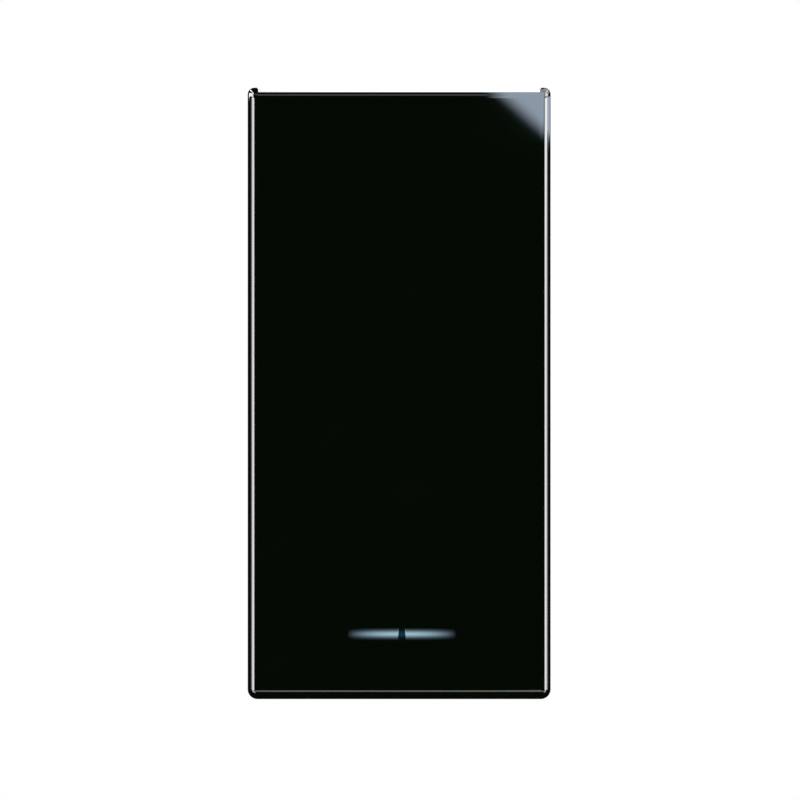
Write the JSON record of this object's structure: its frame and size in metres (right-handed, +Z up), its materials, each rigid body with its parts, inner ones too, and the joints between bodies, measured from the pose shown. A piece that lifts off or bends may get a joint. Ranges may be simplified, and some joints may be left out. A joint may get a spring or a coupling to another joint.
{
  "type": "illuminated light switch",
  "caption": "Single-module rocker light switch with a gloss black key, a small split light bar low on its face, a snap-in body and push-in wire terminals.",
  "frame": {"origin": "middle of the seat plane, where the cover's flange rests on the mounting frame", "axes": "+X right, +Y into the wall, +Z up, seen from the front of the key"},
  "size_m": [0.0222, 0.0352, 0.045],
  "materials": {
    "key_gloss": "high gloss, near black",
    "light_guide": "frosted clear, lit pale blue",
    "cradle_grey": "satin moulded",
    "plunger_white": "low-friction moulded",
    "spring_steel": "drawn wire",
    "cover_black": "fine spark-eroded texture",
    "housing_grey": "fine spark-eroded texture",
    "strip_brass": "stamped strip",
    "contact_silver": "silver alloy, satin",
    "lever_brass": "stamped strip",
    "carrier_black": "moulded",
    "board_green": "solder mask",
    "led_lens": "clear epoxy",
    "resistor_ceramic": "chip body with tinned caps",
    "diode_black": "moulded epoxy",
    "leaf_steel": "rolled strip",
    "release_orange": "satin moulded"
  },
  "bodies": {
    "housing": {"front_cover": "cover_black", "housing_base": "housing_grey", "common_strip": "strip_brass", "contact_strip_1": "strip_brass", "contact_strip_2": "strip_brass", "fixed_contact_upper": "contact_silver", "fixed_contact_lower": "contact_silver", "lamp_carrier": "carrier_black", "lamp_board": "board_green", "lamp_led": "led_lens", "lamp_resistor": "resistor_ceramic", "lamp_diode": "diode_black", "lamp_spring_left": "spring_steel", "lamp_spring_right": "spring_steel", "clamp_spring_common_left": "leaf_steel", "clamp_spring_common_right": "leaf_steel", "clamp_spring_1": "leaf_steel", "clamp_spring_2": "leaf_steel"},
    "rocker": {"rocker_key": "key_gloss", "light_guide": "light_guide", "rocker_cradle": "cradle_grey", "plunger_spring": "spring_steel"},
    "plunger": {"plunger": "plunger_white"},
    "contact_lever": {"contact_lever": "lever_brass", "moving_contact_upper": "contact_silver", "moving_contact_lower": "contact_silver"},
    "release_lever_common_left": {"release_lever_common_left": "release_orange"},
    "release_lever_common_right": {"release_lever_common_right": "release_orange"},
    "release_lever_1": {"release_lever_1": "release_orange"},
    "release_lever_2": {"release_lever_2": "release_orange"}
  },
  "joints": [
    {"name": "rocker_tilt", "type": "hinge", "parent": "housing", "child": "rocker", "pos_m": [0, -0.0045, 0], "axis": [1, 0, 0], "range_deg": [-3.5, 3.5]},
    {"name": "plunger_slide", "type": "slide", "parent": "rocker", "child": "plunger", "axis": [0, -1, 0], "range_m": [0, 0.0012], "stiffness_N_per_m": 10, "springref_m": -0.0003, "deforming": ["plunger_spring"]},
    {"name": "lever_seesaw", "type": "hinge", "parent": "housing", "child": "contact_lever", "pos_m": [0, 0.0072, 0], "axis": [1, 0, 0], "range_deg": [-8.4, 8.4]},
    {"name": "release_common_left", "type": "slide", "parent": "housing", "child": "release_lever_common_left", "axis": [0, -1, 0], "range_m": [0, 0.0012], "stiffness_N_per_m": 5, "springref_m": -0.0003, "deforming": ["clamp_spring_common_left"]},
    {"name": "release_common_right", "type": "slide", "parent": "housing", "child": "release_lever_common_right", "axis": [0, -1, 0], "range_m": [0, 0.0012], "stiffness_N_per_m": 5, "springref_m": -0.0003, "deforming": ["clamp_spring_common_right"]},
    {"name": "release_1", "type": "slide", "parent": "housing", "child": "release_lever_1", "axis": [0, -1, 0], "range_m": [0, 0.0012], "stiffness_N_per_m": 5, "springref_m": -0.0003, "deforming": ["clamp_spring_1"]},
    {"name": "release_2", "type": "slide", "parent": "housing", "child": "release_lever_2", "axis": [0, -1, 0], "range_m": [0, 0.0012], "stiffness_N_per_m": 5, "springref_m": -0.0003, "deforming": ["clamp_spring_2"]}
  ],
  "couplings": [
    {"joint": "lever_seesaw", "follows": "rocker_tilt", "ratio": -2.4}
  ]
}
